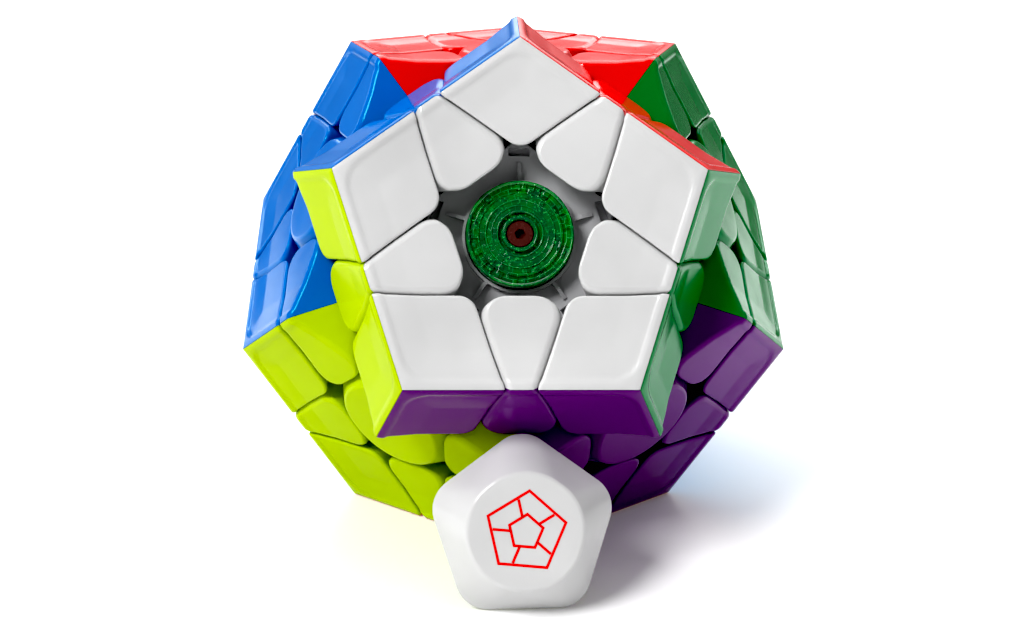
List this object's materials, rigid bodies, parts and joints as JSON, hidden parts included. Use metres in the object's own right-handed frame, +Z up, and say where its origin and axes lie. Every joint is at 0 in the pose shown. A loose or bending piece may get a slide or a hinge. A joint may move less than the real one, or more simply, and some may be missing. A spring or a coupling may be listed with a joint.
{
  "type": "dodecahedron twisty puzzle",
  "caption": "Twelve-colour dodecahedral twisty puzzle on a screwed and sprung core, one layer turned by half a step and its centre cap leaned against it.",
  "frame": {"origin": "centre of the face that the puzzle rests on", "axes": "+Z up, out of the resting face's opposite; -Y is the front, towards which the turned layer faces; +X to the right"},
  "size_m": [0.095, 0.1053, 0.0875],
  "materials": {
    "red_plastic": "glossy moulded plastic, coloured all through",
    "white_plastic": "glossy moulded plastic, coloured all through",
    "green_plastic": "glossy moulded plastic, coloured all through",
    "cream_plastic": "glossy moulded plastic, coloured all through",
    "pink_plastic": "glossy moulded plastic, coloured all through",
    "blue_plastic": "glossy moulded plastic, coloured all through",
    "purple_plastic": "glossy moulded plastic, coloured all through",
    "light_blue_plastic": "glossy moulded plastic, coloured all through",
    "grey_plastic": "glossy moulded plastic, coloured all through",
    "light_green_plastic": "glossy moulded plastic, coloured all through",
    "yellow_plastic": "glossy moulded plastic, coloured all through",
    "orange_plastic": "glossy moulded plastic, coloured all through",
    "tray_plastic": "semi-gloss moulded plastic",
    "inner_plastic": "satin moulded plastic",
    "dial_plastic": "clear green moulded plastic",
    "screw_steel": "dark oxide steel",
    "spring_steel": "drawn wire",
    "magnet_nickel": "nickel plated"
  },
  "bodies": {
    "puzzle_body": {"blue_cap": "blue_plastic", "body_blue_shells": "blue_plastic", "body_centre_bases": "tray_plastic", "body_corner_feet": "inner_plastic", "body_corner_magnets": "magnet_nickel", "body_cream_shells": "cream_plastic", "body_edge_feet": "inner_plastic", "body_edge_magnets": "magnet_nickel", "body_green_shells": "green_plastic", "body_grey_shells": "grey_plastic", "body_light_blue_shells": "light_blue_plastic", "body_light_green_shells": "light_green_plastic", "body_orange_shells": "orange_plastic", "body_purple_shells": "purple_plastic", "body_red_shells": "red_plastic", "body_yellow_shells": "yellow_plastic", "core": "tray_plastic", "cream_cap": "cream_plastic", "green_cap": "green_plastic", "grey_cap": "grey_plastic", "light_blue_cap": "light_blue_plastic", "light_green_cap": "light_green_plastic", "orange_cap": "orange_plastic", "purple_cap": "purple_plastic", "red_cap": "red_plastic", "screws": "screw_steel", "springs": "spring_steel", "tension_dials": "dial_plastic", "yellow_cap": "yellow_plastic"},
    "pink_layer": {"pink_cap": "pink_plastic", "pink_layer_blue_shells": "blue_plastic", "pink_layer_centre_base": "tray_plastic", "pink_layer_corner_feet": "inner_plastic", "pink_layer_corner_magnets": "magnet_nickel", "pink_layer_cream_shells": "cream_plastic", "pink_layer_edge_feet": "inner_plastic", "pink_layer_edge_magnets": "magnet_nickel", "pink_layer_grey_shells": "grey_plastic", "pink_layer_light_green_shells": "light_green_plastic", "pink_layer_pink_shells": "pink_plastic", "pink_layer_red_shells": "red_plastic"},
    "white_cap": {"white_cap": "white_plastic"},
    "white_layer": {"white_layer_blue_shells": "blue_plastic", "white_layer_centre_base": "tray_plastic", "white_layer_corner_feet": "inner_plastic", "white_layer_corner_magnets": "magnet_nickel", "white_layer_edge_feet": "inner_plastic", "white_layer_edge_magnets": "magnet_nickel", "white_layer_green_shells": "green_plastic", "white_layer_purple_shells": "purple_plastic", "white_layer_red_shells": "red_plastic", "white_layer_white_shells": "white_plastic", "white_layer_yellow_shells": "yellow_plastic"},
    "white_screw": {"white_screw": "screw_steel"},
    "white_tension_dial": {"white_tension_dial": "dial_plastic"}
  },
  "joints": [
    {"name": "white_turn", "type": "hinge", "parent": "puzzle_body", "child": "white_layer", "pos_m": [0, 0, 0.04042], "axis": [0, -0.8944, 0.4472], "range_deg": [0, 360]},
    {"name": "pink_turn", "type": "hinge", "parent": "puzzle_body", "child": "pink_layer", "pos_m": [0, 0, 0.04042], "axis": [-0.5257, 0.7236, 0.4472], "continuous": true},
    {"name": "dial_turn", "type": "hinge", "parent": "white_layer", "child": "white_tension_dial", "pos_m": [0, 0, 0.04042], "axis": [0, -0.8944, 0.4472], "continuous": true},
    {"name": "screw_turn", "type": "hinge", "parent": "puzzle_body", "child": "white_screw", "pos_m": [0, 0, 0.04042], "axis": [0, -0.8944, 0.4472], "continuous": true},
    {"name": "white_cap_slide", "type": "slide", "parent": "puzzle_body", "child": "white_cap", "axis": [0, -1, 0], "range_m": [0, 0.09]}
  ],
  "couplings": [
    {"joint": "white_cap_slide", "follows": "white_turn", "m_per_rad": 0.014324}
  ]
}
